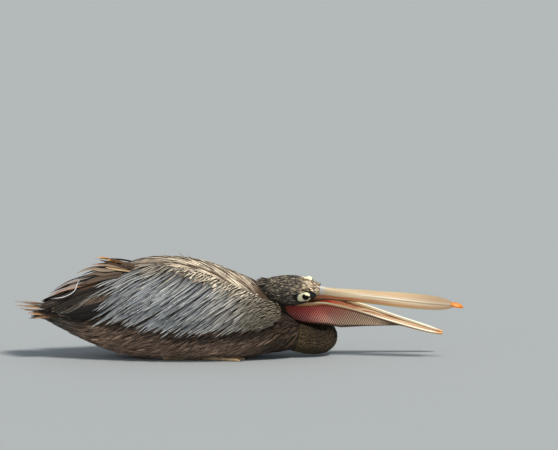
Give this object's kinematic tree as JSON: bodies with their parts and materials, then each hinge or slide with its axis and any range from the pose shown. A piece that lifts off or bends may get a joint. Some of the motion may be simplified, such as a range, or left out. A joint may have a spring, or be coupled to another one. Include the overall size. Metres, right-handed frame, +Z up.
{
  "type": "pink-backed pelican",
  "caption": "Life-size still model of a pink-backed pelican afloat low on its belly, wings folded, neck drawn back, head rolled and the long bill parted.",
  "frame": {"origin": "on the floor under the middle of the bird's whole length and width", "axes": "+X forwards, the way the bill points; +Y to the bird's left; +Z up"},
  "size_m": [1.0474, 0.2346, 0.2404],
  "materials": {
    "grey_plumage": "soft grey feathers with pale edges",
    "brown_plumage": "soft buff and brown body feathers",
    "dark_plumage": "dark brown flight feathers with worn tips",
    "horn": "smooth cream horn with long flesh-coloured streaks",
    "orange_horn": "polished orange horn",
    "pouch_skin": "thin finely wrinkled skin",
    "foot_skin": "scaly skin",
    "eye_gloss": "wet dark brown"
  },
  "bodies": {
    "root": {"trunk": "brown_plumage", "neck": "brown_plumage", "head": "grey_plumage", "eye_right": "eye_gloss", "eye_left": "eye_gloss", "upper_bill": "horn", "bill_nail": "orange_horn", "lower_bill": "horn", "pouch": "pouch_skin", "wing_right": "grey_plumage", "wing_left": "grey_plumage", "primaries_right": "dark_plumage", "primaries_left": "dark_plumage", "tail": "dark_plumage", "leg_right": "foot_skin", "leg_left": "foot_skin", "foot_right": "foot_skin", "foot_left": "foot_skin"}
  },
  "joints": []
}
